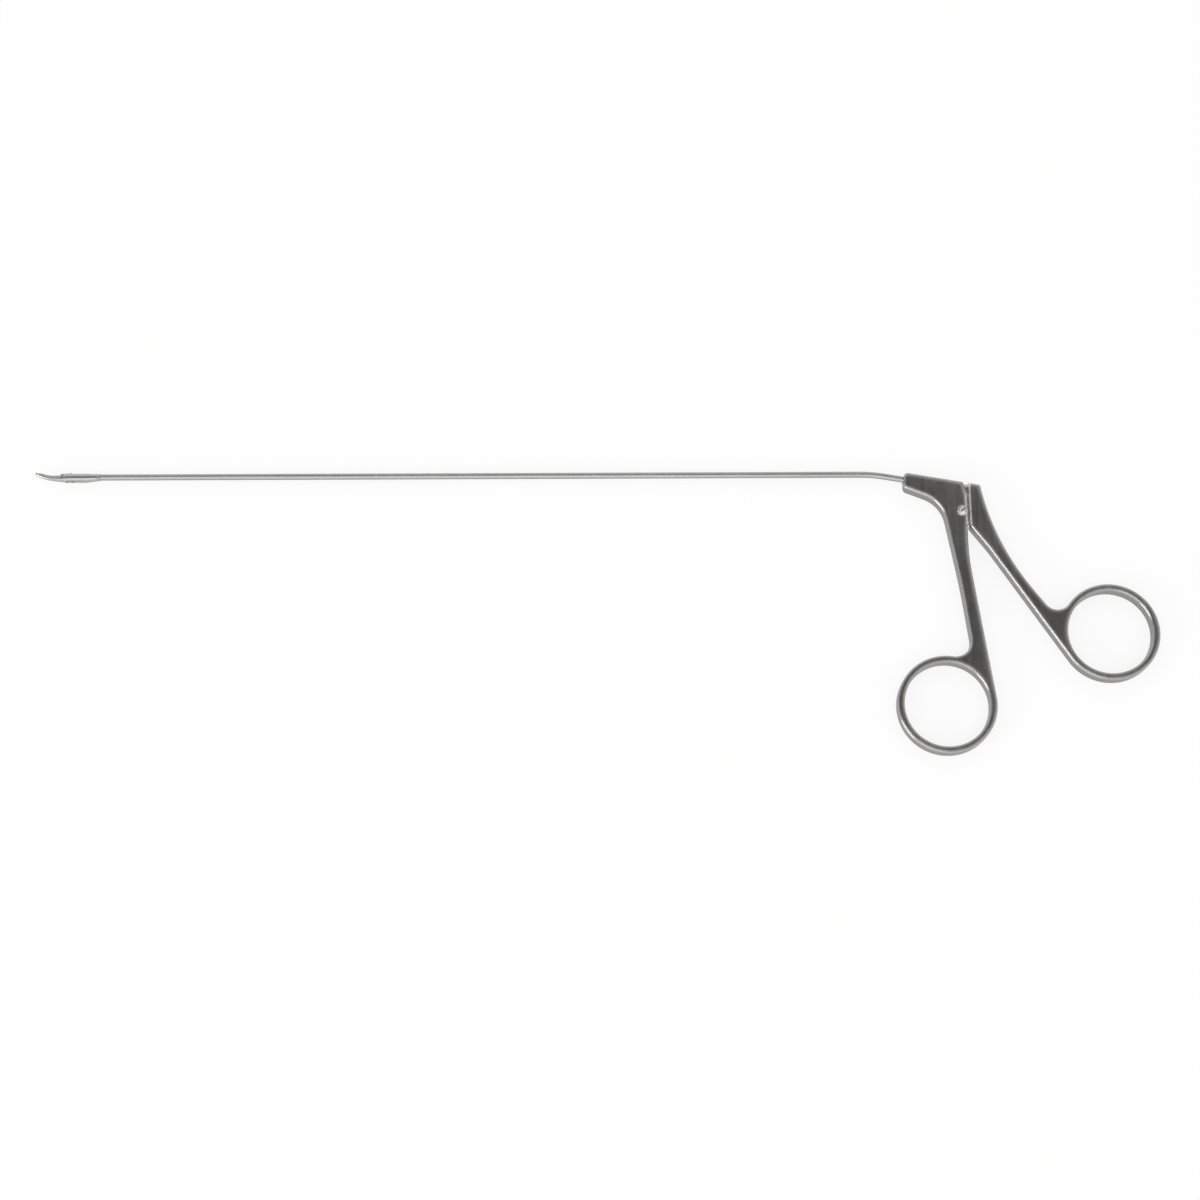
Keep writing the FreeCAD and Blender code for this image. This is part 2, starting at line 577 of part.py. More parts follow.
def make_upper_jaw():
    """Toothed upper jaw with a thin root that turns in the housing and a half-lapped tail."""
    shoulder = math.hypot(HOUSING_AHEAD, HOUSING_Y + HOUSING_RADIUS - JAW_PIVOT.y)
    teeth = tooth_line(PARTING_GAP / 2, FIRST_TOOTH, UPPER_JAW_LENGTH)
    high = point(0, 3 * HOUSING_RADIUS)
    near = parting_point(-UPPER_JAW_START, TOOTH_DEPTH / 2)
    far = parting_point(UPPER_JAW_LENGTH + OVERRUN, 0)
    line = [near, parting_point(FIRST_TOOTH / 2, TOOTH_DEPTH / 2)] + teeth + [far, far + high, near + high]
    above = slab(outline([(place,) for place in line]), -HOUSING_RADIUS, HOUSING_RADIUS)
    blade = horn(jaw_stations(UPPER_JAW_LENGTH, UPPER_JAW_FLATNESS)).common(above)
    sweep = post(JAW_PIVOT.x, JAW_PIVOT.y, shoulder + SHOULDER_GAP, -HOUSING_RADIUS, HOUSING_RADIUS)
    blade = blade.cut(sweep)

    hub = post(JAW_PIVOT.x, JAW_PIVOT.y, JAW_HUB_RADIUS, -HALF_JAW_ROOT, HALF_JAW_ROOT)
    neck_end = parting_point(UPPER_JAW_START, 0)
    neck_low = PARTING_Y + TOOTH_DEPTH / 2
    neck_high = JAW_PIVOT.y + JAW_HUB_RADIUS - JAW_SIDE_GAP
    neck = [
        (point(neck_end.x, neck_low),),
        (point(JAW_PIVOT.x, neck_low),),
        (point(JAW_PIVOT.x, neck_high),),
        (point(neck_end.x, neck_high - PARTING_BELOW_SHAFT),),
    ]
    root = hub.fuse(slab(outline(neck), -HALF_JAW_ROOT, HALF_JAW_ROOT))
    arm = unit(TAIL_PIN - JAW_PIVOT)
    side = point(-arm.y, arm.x)
    tail = [
        (JAW_PIVOT - side * TAIL_HALF_WIDTH,),
        (TAIL_PIN - side * TAIL_BOSS_RADIUS, TAIL_PIN + arm * TAIL_BOSS_RADIUS, TAIL_PIN + side * TAIL_BOSS_RADIUS),
        (JAW_PIVOT + side * TAIL_HALF_WIDTH,),
    ]
    lap = HALF_JAW_ROOT - TONGUE_THICKNESS - JAW_SIDE_GAP
    root = root.fuse(slab(outline(tail), -HALF_JAW_ROOT, lap))
    jaw = blade.fuse(root).removeSplitter()
    hub_hole = post(JAW_PIVOT.x, JAW_PIVOT.y, JAW_PIN_RADIUS + RUNNING_GAP, -HOUSING_RADIUS, HOUSING_RADIUS)
    tail_hole = post(TAIL_PIN.x, TAIL_PIN.y, TAIL_PIN_RADIUS + BRAZE_GAP, -HOUSING_RADIUS, HOUSING_RADIUS)
    return jaw.cut(hub_hole).cut(tail_hole)


def make_jaw_pivot_pin():
    """Rivet, ground flush with the housing's round."""
    pin = post(JAW_PIVOT.x, JAW_PIVOT.y, JAW_PIN_RADIUS, -HOUSING_RADIUS, HOUSING_RADIUS)
    return pin.common(housing_blank())


def make_tail_pin():
    return post(TAIL_PIN.x, TAIL_PIN.y, TAIL_PIN_RADIUS, -HALF_JAW_ROOT, HALF_JAW_ROOT)


def make_rod_tongue():
    """Flat tongue on the rod's far end that steps down to the tail pin beside the jaw's tail."""
    low = HALF_JAW_ROOT - TONGUE_THICKNESS
    boss = TAIL_BOSS_RADIUS
    neck = TONGUE_HALF_NECK
    steps = [
        (TONGUE_EYE - point(0, boss), TONGUE_EYE - point(boss, 0), TONGUE_EYE + point(0, boss)),
        (point(TONGUE_SHANK_X - TONGUE_STEP, SHAFT_Y + neck),),
        (point(TONGUE_SHANK_X + TONGUE_LAP, SHAFT_Y + neck),),
        (point(TONGUE_SHANK_X + TONGUE_LAP, SHAFT_Y - neck),),
        (point(TONGUE_SHANK_X - TONGUE_STEP / 2, SHAFT_Y - neck),),
    ]
    blade = slab(outline(steps), low, HALF_JAW_ROOT)
    shank = Part.makeCylinder(TONGUE_SHANK_RADIUS, TONGUE_SHANK_LENGTH, point(TONGUE_SHANK_X, SHAFT_Y), point(1, 0))
    tongue = blade.fuse(shank).removeSplitter()
    tongue = tongue.cut(post(TONGUE_EYE.x, TONGUE_EYE.y, TAIL_PIN_RADIUS + LINK_GAP, low, HALF_JAW_ROOT))
    bore = Part.makeCylinder(SPIGOT_RADIUS + BRAZE_GAP, SPIGOT_LENGTH, point(ROD_START_X - SPIGOT_LENGTH, SHAFT_Y),
                             point(1, 0))
    return tongue.cut(bore)


def make_pull_rod():
    """Wire through the tube, with a turned spigot at each end."""
    wire = along_shaft(ROD_START_X, ROD_END_X, ROD_RADIUS)
    far = Part.makeCylinder(SPIGOT_RADIUS, SPIGOT_LENGTH, point(ROD_START_X - SPIGOT_LENGTH, SHAFT_Y), point(1, 0))
    near = Part.makeCylinder(SPIGOT_RADIUS, SPIGOT_LENGTH, on_slope(ROD_END_X), SLOPE_DIRECTION)
    return wire.fuse(far).fuse(near).removeSplitter()


def make_rod_eye():
    """End piece on the rod: a round shank, then a flat eye in the tang's slit."""
    half = EYE_THICKNESS / 2
    end = on_slope(ROD_END_X)
    shank = Part.makeCylinder(EYE_SHANK_RADIUS, EYE_SHANK_LENGTH, end, SLOPE_DIRECTION)
    across = point(-SLOPE_DIRECTION.y, SLOPE_DIRECTION.x)
    neck = across * (EYE_SHANK_RADIUS - NECK_INSET)
    root = end + SLOPE_DIRECTION * (EYE_SHANK_LENGTH - NECK_LAP)
    steps = [
        (root - neck,),
        (ROD_EYE - across * EYE_RADIUS, ROD_EYE + SLOPE_DIRECTION * EYE_RADIUS, ROD_EYE + across * EYE_RADIUS),
        (root + neck,),
    ]
    eye = shank.fuse(slab(outline(steps), -half, half)).removeSplitter()
    eye = eye.cut(post(ROD_EYE.x, ROD_EYE.y, CROSS_PIN_RADIUS + LINK_GAP, -half, half))
    return eye.cut(Part.makeCylinder(SPIGOT_RADIUS + BRAZE_GAP, SPIGOT_LENGTH, end, SLOPE_DIRECTION))


def make_rod_cross_pin():
    return post(CROSS_PIN.x, CROSS_PIN.y, CROSS_PIN_RADIUS, -HALF_TANG, HALF_TANG)


def main():
    pieces = {
        "front_handle": make_front_handle(),
        "rear_handle": make_rear_handle(),
        "pivot_screw": make_pivot_screw(),
        "shaft_tube": make_shaft_tube(),
        "fixed_jaw": make_fixed_jaw(),
        "upper_jaw": make_upper_jaw(),
        "jaw_pivot_pin": make_jaw_pivot_pin(),
        "tail_pin": make_tail_pin(),
        "rod_tongue": make_rod_tongue(),
        "pull_rod": make_pull_rod(),
        "rod_eye": make_rod_eye(),
        "rod_cross_pin": make_rod_cross_pin(),
    }
    box = FreeCAD.BoundBox()
    for shape in pieces.values():
        box.add(shape.optimalBoundingBox())
    origin = point(-(box.XMin + box.XMax) / 2, -(box.YMin + box.YMax) / 2, -box.ZMin)
    os.makedirs("parts", exist_ok=True)
    for name, shape in pieces.items():
        shape.translate(origin)
        shape.exportStep("parts/" + name + ".step")
        print(name, len(shape.Solids), "solids, valid", shape.isValid(), "volume %.3f" % shape.Volume)
    print("pivot screw axis at %.3f, %.3f; stroke %.4f, tang arm %.4f" % (origin.x, origin.y, ROD_STROKE, TANG_ARM))
    print("jaw pivot at %.4f, %.4f, size %.2f %.2f %.2f" % (
        JAW_PIVOT.x + origin.x, JAW_PIVOT.y + origin.y, box.XLength, box.YLength, box.ZLength))


main()
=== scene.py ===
import json
import math

import bpy
from mathutils import Matrix, Vector

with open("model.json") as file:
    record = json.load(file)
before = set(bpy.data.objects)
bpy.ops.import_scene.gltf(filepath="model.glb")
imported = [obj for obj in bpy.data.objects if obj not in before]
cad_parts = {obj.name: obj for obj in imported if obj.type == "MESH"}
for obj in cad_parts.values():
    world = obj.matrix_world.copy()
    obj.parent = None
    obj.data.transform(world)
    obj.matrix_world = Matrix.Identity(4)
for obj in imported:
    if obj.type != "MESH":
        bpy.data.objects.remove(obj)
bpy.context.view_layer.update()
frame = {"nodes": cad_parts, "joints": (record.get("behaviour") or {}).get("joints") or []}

NODES = frame["nodes"]


def joint_place(name):
    return Vector([joint["pos_m"] for joint in frame["joints"] if joint["name"] == name][0])


PIVOT = joint_place("handle_pivot")
JAW_PIVOT = joint_place("jaw_pivot")

# Camera: almost straight down on the handles' flat sides, tipped towards the rings
TILT = math.radians(74.5)
ROLL = math.radians(-0.21)
TARGET = PIVOT + Vector((-0.09357, -0.02304, 0.0))
DISTANCE = 0.56
SENSOR = 36.0
LENS = 65.633
CLIP = (0.01, 20.0)

# Handles, from the pivot: the rings, which are rounder than the arms, and the seam beside the screw
RINGS = ((-0.0061, -0.05108), (0.0362, -0.0324))
RING_REACH = (0.0128, 0.0136)
RING_SOFTNESS = 3.5
SEAM = (0.0009, 0.0024)
SEAM_FOOT = -0.0037

# Handles: the middle of their thickness, and how far from it the layer reaches whose faces are painted
# light, lifting the shade in the joint between the handles
MIDDLE = 0.002
JOINT_LIGHT_LAYER = (0.00092, 0.0011)
JOINT_LIGHT = (0.84, 0.83, 0.81)

# Tone of the sides along Y: lowered below the first height, raised a little above the second
TONE_BY_Y = (0.0, 0.035)
TONE_BY_Y_SHIFT = (-0.12, 0.06)

# Jaws, from the jaw pivot: where the jaw's tail is painted dark as shade inside the housing,
# and the housing's upper side, which is rougher and painted lighter as light falling on it
TAIL = (0.0008, 0.0016)
TAIL_SHADE = 0.85
HOUSING_TOP_START = (-0.0022, -0.0014)
HOUSING_TOP_END = (0.0085, 0.0105)
HOUSING_TOP_LEAN = (-0.05, 0.15)
HOUSING_TOP_LIGHT = (0.57, 0.562, 0.55)
HOUSING_TOP_ROUGHNESS = 0.5

# Steel's patterns: scale, detail and roughness of each noise, though grain and brush marks bring
# their own scale, then the values between which a noise mostly varies, and the height of its relief
CLOUDS = (90.0, 4.0, 0.55)
PATCHES = (700.0, 4.0, 0.6)
GRAIN_DETAIL = (3.0, 0.6)
BRUSH_DETAIL = (5.0, 0.65)
PATTERN = (0.3, 0.7)
BUMP_HEIGHT = 0.00002

# Turning marks on the screw: their scale, and how far they waver
TURN_MARKS = 9000.0
TURN_WAVER = 1.5

# Steel's tone: shares of clouds and brush marks, the tones of the dark and the light colour,
# and the tint that the grain gives
CLOUD_SHARE = 0.6
BRUSH_SHARE = 0.4
TONE = (0.35, 0.65)
GRAIN_TINT = (0.96, 1.04)

# Steel by the way a face leans: upright walls, which take the darker wall colour as painted shade, worn
# edges between wall and side, and the tube's flanks and underside, painted darker as shade
UPRIGHT = (0.15, 0.6)
WORN = (0.11, 0.2)
WORN_PATCHES = 0.06
# Painted shade on the tube: full where the normal's Z is below the first value, gone above the second
FLANK_SHADE = (0.15, 0.45)

# Steel's roughness: how far patches and brush marks vary it, and how much smoother the worn edges are
PATCH_ROUGHNESS = 0.025
BRUSH_ROUGHNESS = 0.03
EDGE_POLISH = 0.1

# Steel's crevices: the dark colour of the painted shade, its reach, and the shares of open sky at which
# the painted shade is full and gone. The same dark colour is painted as shade on the moving jaw's tail
SHADE_DARK = (0.03, 0.028, 0.025)
CREVICE = 0.0004
CREVICE_OPEN = (0.35, 0.9)
CREVICE_SAMPLES = 8

# Softened edges and the crown, whose reach is counted in softened edges
EDGE_SAMPLES = 12
CROWN_SAMPLES = 8
CROWN_REACH = 12.0
CROWN_SHARE = 0.15

# Studio: an even white surround and a white floor
SURROUND = 0.92
FLOOR_SIZE = 12.0
FLOOR_DROP = 0.00001
FLOOR_PAINT = (0.93, 0.93, 0.925, 1.0)
FLOOR_SHARE = 0.82
WHITE = (1.0, 1.0, 1.0, 1.0)

# Studio: grey cards that only the metal sees, one overhead and one standing at the left
CARD_GREYS = (0.16, 0.55)
CARD_TURN = (0.36, 0.95)
CARD_HEIGHT = 1.2
CARD_WIDTH = 3.0
CARD_NEAR = -0.16
CARD_FAR = 1.25
CARD_FADE = 0.12
SIDE_CARD_GREYS = (0.22, 0.4)
SIDE_CARD_X = -1.3
SIDE_CARD_TOP = 0.45
SIDE_CARD_NEAR = -0.22
SIDE_CARD_FAR = 0.9


def make_camera():
    camera = bpy.data.cameras.new("camera")
    camera.sensor_width = SENSOR
    camera.lens = LENS
    camera.clip_start, camera.clip_end = CLIP
    back = Vector((0.0, -math.cos(TILT), math.sin(TILT)))
    right = Vector((1.0, 0.0, 0.0))
    up = Vector((0.0, math.sin(TILT), math.cos(TILT)))
    side = right * math.cos(ROLL) + up * math.sin(ROLL)
    top = up * math.cos(ROLL) - right * math.sin(ROLL)
    holder = bpy.data.objects.new("camera", camera)
    place = Matrix.Translation(TARGET + back * DISTANCE)
    turn = Matrix((side, top, back)).transposed().to_4x4()
    holder.matrix_world = place @ turn
    bpy.context.scene.collection.objects.link(holder)
    bpy.context.scene.camera = holder


def sockets_of(sockets, kind):
    return [socket for socket in sockets if socket.type == kind]


class Graph:
    """Short names for building a material's or world's node tree."""

    def __init__(self, tree):
        self.tree = tree
        tree.nodes.clear()

    def add(self, kind, **values):
        node = self.tree.nodes.new(kind)
        for name, value in values.items():
            setattr(node, name, value)
        return node

    def link(self, source, target):
        self.tree.links.new(source, target)

    def math(self, operation, first, second=0.0):
        node = self.add("ShaderNodeMath", operation=operation)
        for socket, value in zip(node.inputs, (first, second)):
            if isinstance(value, (int, float)):
                socket.default_value = value
            else:
                self.link(value, socket)
        return node.outputs[0]

    def spread(self, value, low, high, to_low, to_high):
        """Ramp: to_low where the value is low, to_high where it is high."""
        node = self.add("ShaderNodeMapRange", clamp=True)
        ends = ("From Min", "From Max", "To Min", "To Max")
        for name, number in zip(ends, (low, high, to_low, to_high)):
            node.inputs[name].default_value = number
        self.link(value, node.inputs["Value"])
        return node.outputs["Result"]

    def axes(self, vector):
        node = self.add("ShaderNodeSeparateXYZ")
        self.link(vector, node.inputs[0])
        return node.outputs

    def scaled(self, vector, scale):
        node = self.add("ShaderNodeMapping")
        node.inputs["Scale"].default_value = scale
        self.link(vector, node.inputs["Vector"])
        return node.outputs[0]

    def noise(self, vector, scale, detail, roughness):
        node = self.add("ShaderNodeTexNoise")
        node.inputs["Scale"].default_value = scale
        node.inputs["Detail"].default_value = detail
        node.inputs["Roughness"].default_value = roughness
        self.link(vector, node.inputs["Vector"])
        return node.outputs["Fac"]

    def mix(self, factor, first, second):
        node = self.add("ShaderNodeMix", data_type="RGBA")
        self.link(factor, node.inputs["Factor"])
        for socket, value in zip(sockets_of(node.inputs, "RGBA"), (first, second)):
            if isinstance(value, tuple):
                socket.default_value = (*value, 1.0)
            else:
                self.link(value, socket)
        return sockets_of(node.outputs, "RGBA")[0]

    def tint(self, colour, strength):
        node = self.add("ShaderNodeMix", data_type="RGBA", blend_type="MULTIPLY")
        node.inputs["Factor"].default_value = 1.0
        for socket, value in zip(sockets_of(node.inputs, "RGBA"), (colour, strength)):
            self.link(value, socket)
        return sockets_of(node.outputs, "RGBA")[0]

    def bump(self, height, strength, under):
        node = self.add("ShaderNodeBump")
        node.inputs["Strength"].default_value = strength
        node.inputs["Distance"].default_value = BUMP_HEIGHT
        self.link(height, node.inputs["Height"])
        self.link(under, node.inputs["Normal"])
        return node.outputs["Normal"]

    def crown(self, normal, reach):
        """Leans a share of the normal the way a softly crowned face would near its edges."""
        wide = self.add("ShaderNodeBevel", samples=CROWN_SAMPLES)
        wide.inputs["Radius"].default_value = reach
        blend = self.add("ShaderNodeMix", data_type="VECTOR")
        blend.inputs["Factor"].default_value = CROWN_SHARE
        for socket, value in zip(sockets_of(blend.inputs, "VECTOR"), (normal, wide.outputs["Normal"])):
            self.link(value, socket)
        even = self.add("ShaderNodeVectorMath", operation="NORMALIZE")
        self.link(sockets_of(blend.outputs, "VECTOR")[0], even.inputs[0])
        return even.outputs[0]

    def crevice(self):
        """Share of open sky over a point: low in corners and slots."""
        node = self.add("ShaderNodeAmbientOcclusion", samples=CREVICE_SAMPLES, only_local=True)
        node.inputs["Distance"].default_value = CREVICE
        return node.outputs["AO"]

    def turning_marks(self, where):
        """Circles round the screw's axis."""
        centred = self.add("ShaderNodeMapping")
        centred.inputs["Location"].default_value = (-PIVOT.x, -PIVOT.y, 0.0)
        self.link(where, centred.inputs["Vector"])
        node = self.add("ShaderNodeTexWave", wave_type="RINGS", rings_direction="Z")
        node.inputs["Scale"].default_value = TURN_MARKS
        node.inputs["Distortion"].default_value = TURN_WAVER
        self.link(centred.outputs[0], node.inputs["Vector"])
        return node.outputs["Fac"]

    def ring_softness(self, where, soft_edge):
        """Radius of the softened edges: wider on the finger rings."""
        shares = []
        for x, y in RINGS:
            apart = self.add("ShaderNodeVectorMath", operation="SUBTRACT")
            self.link(where, apart.inputs[0])
            apart.inputs[1].default_value = (PIVOT.x + x, PIVOT.y + y, MIDDLE)
            length = self.add("ShaderNodeVectorMath", operation="LENGTH")
            self.link(apart.outputs[0], length.inputs[0])
            shares.append(self.spread(length.outputs["Value"], *RING_REACH, RING_SOFTNESS, 1.0))
        return self.math("MULTIPLY", self.math("MAXIMUM", *shares), soft_edge)

    def softened(self, where, soft_edge, part):
        """The normal with softened edges."""
        node = self.add("ShaderNodeBevel", samples=EDGE_SAMPLES)
        node.inputs["Radius"].default_value = soft_edge
        if part == "handle":
            self.link(self.ring_softness(where, soft_edge), node.inputs["Radius"])
        return node.outputs["Normal"]

    def worn(self, lean, patches):
        """One on the edges between wall and side, unevenly."""
        rounding = self.math("MULTIPLY", lean, self.math("SUBTRACT", 1.0, lean))
        uneven = self.math("MULTIPLY", patches, WORN_PATCHES)
        return self.spread(self.math("ADD", rounding, uneven), *WORN, 0.0, 1.0)

    def seam(self, spot):
        """One in the narrow strip where the moving handle's shoulder meets the fixed one."""
        after = self.math("GREATER_THAN", spot["X"], PIVOT.x + SEAM[0])
        before = self.math("LESS_THAN", spot["X"], PIVOT.x + SEAM[1])
        above = self.math("GREATER_THAN", spot["Y"], PIVOT.y + SEAM_FOOT)
        return self.math("MULTIPLY", self.math("MULTIPLY", after, before), above)

    def housing_top(self, spot, normal):
        """One on the upper side of the jaws' housing, from the pivot to the taper."""
        start = self.spread(spot["X"], *[JAW_PIVOT.x + x for x in HOUSING_TOP_START], 0.0, 1.0)
        end = self.spread(spot["X"], *[JAW_PIVOT.x + x for x in HOUSING_TOP_END], 1.0, 0.0)
        upper = self.spread(normal["Y"], *HOUSING_TOP_LEAN, 0.0, 1.0)
        return self.math("MULTIPLY", self.math("MULTIPLY", start, end), upper)

    def seen(self):
        """One for rays that show the background: straight, mirrored or through glass."""
        path = self.add("ShaderNodeLightPath")
        straight = self.math("MAXIMUM", path.outputs["Is Camera Ray"], path.outputs["Is Glossy Ray"])
        return self.math("MAXIMUM", straight, path.outputs["Is Transmission Ray"])


def side_colour(graph, where, spot, marks, dark, light, part):
    """Cloudy satin of the flat sides. The handles' middle layer is painted light, lifting the shade in
    the joint.
    """
    clouds = graph.math("MULTIPLY", graph.noise(where, *CLOUDS), CLOUD_SHARE)
    tone = graph.math("ADD", clouds, graph.math("MULTIPLY", marks, BRUSH_SHARE))
    tone = graph.math("ADD", tone, graph.spread(spot["Y"], *TONE_BY_Y, *TONE_BY_Y_SHIFT))
    side = graph.mix(graph.spread(tone, *TONE, 0.0, 1.0), dark, light)
    if part == "handle":
        depth = graph.math("ABSOLUTE", graph.math("SUBTRACT", spot["Z"], MIDDLE))
        side = graph.mix(graph.spread(depth, *JOINT_LIGHT_LAYER, 1.0, 0.0), side, JOINT_LIGHT)
    return side


def own_colour(graph, colour, spot, normal, wall, part):
    """Adds the handles' seam painted light, the tube's flanks painted as shade, painted shade on the
    jaw's tail or the housing's upper side painted lighter.
    """
    if part == "handle":
        # Painted light: the seam strip beside the screw is lightened where it lies in shade
        return graph.mix(graph.seam(spot), colour, JOINT_LIGHT)
    if part == "tube":
        # Painted shade: the tube's flanks and underside take the darker wall colour
        return graph.mix(graph.spread(normal["Z"], *FLANK_SHADE, 1.0, 0.0), colour, wall)
    if part == "tail":
        # Painted shade: the tail darkens inside the housing
        inside = graph.spread(spot["X"], *[JAW_PIVOT.x + x for x in TAIL], 0.0, TAIL_SHADE)
        return graph.mix(inside, colour, SHADE_DARK)
    if part == "housing":
        # Painted light: the housing's upper side is lighter, standing for light falling on it
        return graph.mix(graph.housing_top(spot, normal), colour, HOUSING_TOP_LIGHT)
    return colour


def steel_roughness(graph, rough, patches, marks, worn):
    """Varied by patches and brush marks, and smoother on the worn edges."""
    by_patch = graph.spread(patches, *PATTERN, rough - PATCH_ROUGHNESS, rough + PATCH_ROUGHNESS)
    by_mark = graph.spread(marks, *PATTERN, -BRUSH_ROUGHNESS, BRUSH_ROUGHNESS)
    polish = graph.math("MULTIPLY", worn, EDGE_POLISH)
    return graph.math("SUBTRACT", graph.math("ADD", by_patch, by_mark), polish)


def steel(name, dark, light, wall, edge, rough, grain, brush, soft_edge, crevice_shade,
          grazing=1.0, turned=0.0, part=None):
    """Stainless steel: cloudy satin sides, plainer walls painted darker as shade, edges worn bright,
    crevices painted dark as shade.

    grain is its scale and strength, brush the scale along each axis and the strength. part names
    what has marks of its own: handle, tube, housing of the jaws, or tail for the moving jaw.
    """
    material = bpy.data.materials.new(name)
    material.use_nodes = True
    graph = Graph(material.node_tree)
    where = graph.add("ShaderNodeTexCoord").outputs["Object"]
    spot = graph.axes(where)
    patches = graph.noise(where, *PATCHES)
    grains = graph.noise(where, grain[0], *GRAIN_DETAIL)
    marks = graph.noise(graph.scaled(where, brush[0]), 1.0, *BRUSH_DETAIL)

    softened = graph.softened(where, soft_edge, part)
    normal = graph.axes(softened)
    lean = graph.math("ABSOLUTE", normal["Z"])
    upright = graph.spread(lean, *UPRIGHT, 1.0, 0.0)
    worn = graph.worn(lean, patches)

    side = side_colour(graph, where, spot, marks, dark, light, part)
    # Painted shade: upright walls take the wall colour, mostly darker than the sides, standing for the
    # shaded floor they mirror
    colour = graph.mix(worn, graph.mix(upright, side, wall), edge)
    colour = own_colour(graph, colour, spot, normal, wall, part)
    # Painted shade: crevices, slots and gaps are darkened where the ambient occlusion finds little open
    # sky
    colour = graph.mix(graph.spread(graph.crevice(), *CREVICE_OPEN, crevice_shade, 0.0), colour, SHADE_DARK)
    colour = graph.tint(colour, graph.spread(grains, *PATTERN, *GRAIN_TINT))

    roughness = steel_roughness(graph, rough, patches, marks, worn)
    if part == "housing":
        least = graph.math("MULTIPLY", graph.housing_top(spot, normal), HOUSING_TOP_ROUGHNESS)
        roughness = graph.math("MAXIMUM", roughness, least)

    finish = graph.crown(softened, soft_edge * CROWN_REACH)
    finish = graph.bump(grains, grain[1], finish)
    finish = graph.bump(marks, brush[1], finish)
    if turned:
        finish = graph.bump(graph.turning_marks(where), turned, finish)

    shader = graph.add("ShaderNodeBsdfPrincipled")
    shader.inputs["Metallic"].default_value = 1.0
    shader.inputs["Specular Tint"].default_value = (grazing, grazing, grazing, 1.0)
    graph.link(colour, shader.inputs["Base Color"])
    graph.link(roughness, shader.inputs["Roughness"])
    graph.link(finish, shader.inputs["Normal"])
    output = graph.add("ShaderNodeOutputMaterial")
    graph.link(shader.outputs[0], output.inputs["Surface"])
    return material


def handle_steel():
    return steel("handle_satin", dark=(0.29, 0.278, 0.264), light=(0.43, 0.413, 0.393),
                 wall=(0.30, 0.292, 0.282), edge=(0.44, 0.43, 0.416), rough=0.28,
                 grain=(9000.0, 0.06), brush=((700.0, 50.0, 50.0), 0.12), soft_edge=0.00013,
                 crevice_shade=0.25, grazing=0.78, part="handle")


def shaft_steel():
    return steel("shaft_drawn", dark=(0.40, 0.396, 0.388), light=(0.48, 0.476, 0.468),
                 wall=(0.24, 0.237, 0.233), edge=(0.44, 0.436, 0.428), rough=0.24,
                 grain=(9000.0, 0.04), brush=((40.0, 6000.0, 6000.0), 0.06), soft_edge=0.0001,
                 crevice_shade=0.3, grazing=0.85, part="tube")


def jaw_steel(name, part):
    return steel(name, dark=(0.36, 0.354, 0.344), light=(0.46, 0.454, 0.444),
                 wall=(0.36, 0.354, 0.345), edge=(0.46, 0.454, 0.444), rough=0.3,
                 grain=(14000.0, 0.1), brush=((90.0, 5000.0, 5000.0), 0.08), soft_edge=0.00006,
                 crevice_shade=0.85, part=part)


def screw_steel():
    return steel("screw_polished", dark=(0.62, 0.615, 0.605), light=(0.74, 0.735, 0.725),
                 wall=(0.55, 0.545, 0.535), edge=(0.74, 0.735, 0.725), rough=0.14,
                 grain=(9000.0, 0.04), brush=((3000.0, 60.0, 3000.0), 0.03), soft_edge=0.0001,
                 crevice_shade=0.95, turned=1.0)


def rod_steel():
    return steel("rod_bright", dark=(0.46, 0.456, 0.45), light=(0.56, 0.556, 0.55),
                 wall=(0.5, 0.496, 0.49), edge=(0.56, 0.556, 0.55), rough=0.22,
                 grain=(9000.0, 0.08), brush=((40.0, 7000.0, 7000.0), 0.12), soft_edge=0.0001,
                 crevice_shade=0.5)


def tongue_steel():
    # Painted shade: the tongue and tail pin show only through the housing's mouth, and their dark colour
    # stands for the shade there
    return steel("tongue_shaded_dark", dark=(0.12, 0.117, 0.112), light=(0.2, 0.196, 0.19),
                 wall=(0.1, 0.098, 0.094), edge=(0.2, 0.196, 0.19), rough=0.3,
                 grain=(9000.0, 0.08), brush=((40.0, 7000.0, 7000.0), 0.12), soft_edge=0.00005,
                 crevice_shade=0.5)


def dress(names, material):
    for name in names:
        for slot in NODES[name].material_slots:
            slot.material = material


def add_sheet(name, corners, material_name):
    """Flat four-cornered stage piece, with an empty material's graph."""
    mesh = bpy.data.meshes.new(name)
    mesh.from_pydata(corners, [], [(0, 1, 2, 3)])
    sheet = bpy.data.objects.new(name, mesh)
    bpy.context.scene.collection.objects.link(sheet)
    material = bpy.data.materials.new(material_name)
    material.use_nodes = True
    mesh.materials.append(material)
    return sheet, Graph(material.node_tree)


def show_mix(graph, factor, first, second):
    """The material's surface: two shaders mixed by the factor."""
    both = graph.add("ShaderNodeMixShader")
    graph.link(factor, both.inputs["Fac"])
    graph.link(first.outputs[0], both.inputs[1])
    graph.link(second.outputs[0], both.inputs[2])
    output = graph.add("ShaderNodeOutputMaterial")
    graph.link(both.outputs[0], output.inputs["Surface"])


def make_floor():
    """White floor. Seen directly or mirrored in metal it is lifted most of the way to plain white."""
    signs = ((-1, -1), (1, -1), (1, 1), (-1, 1))
    corners = [(x * FLOOR_SIZE, y * FLOOR_SIZE, -FLOOR_DROP) for x, y in signs]
    floor, graph = add_sheet("floor", corners, "floor_white")
    paint = graph.add("ShaderNodeBsdfDiffuse")
    paint.inputs["Color"].default_value = FLOOR_PAINT
    white = graph.add("ShaderNodeEmission")
    white.inputs["Color"].default_value = WHITE
    show_mix(graph, graph.math("MULTIPLY", graph.seen(), FLOOR_SHARE), paint, white)


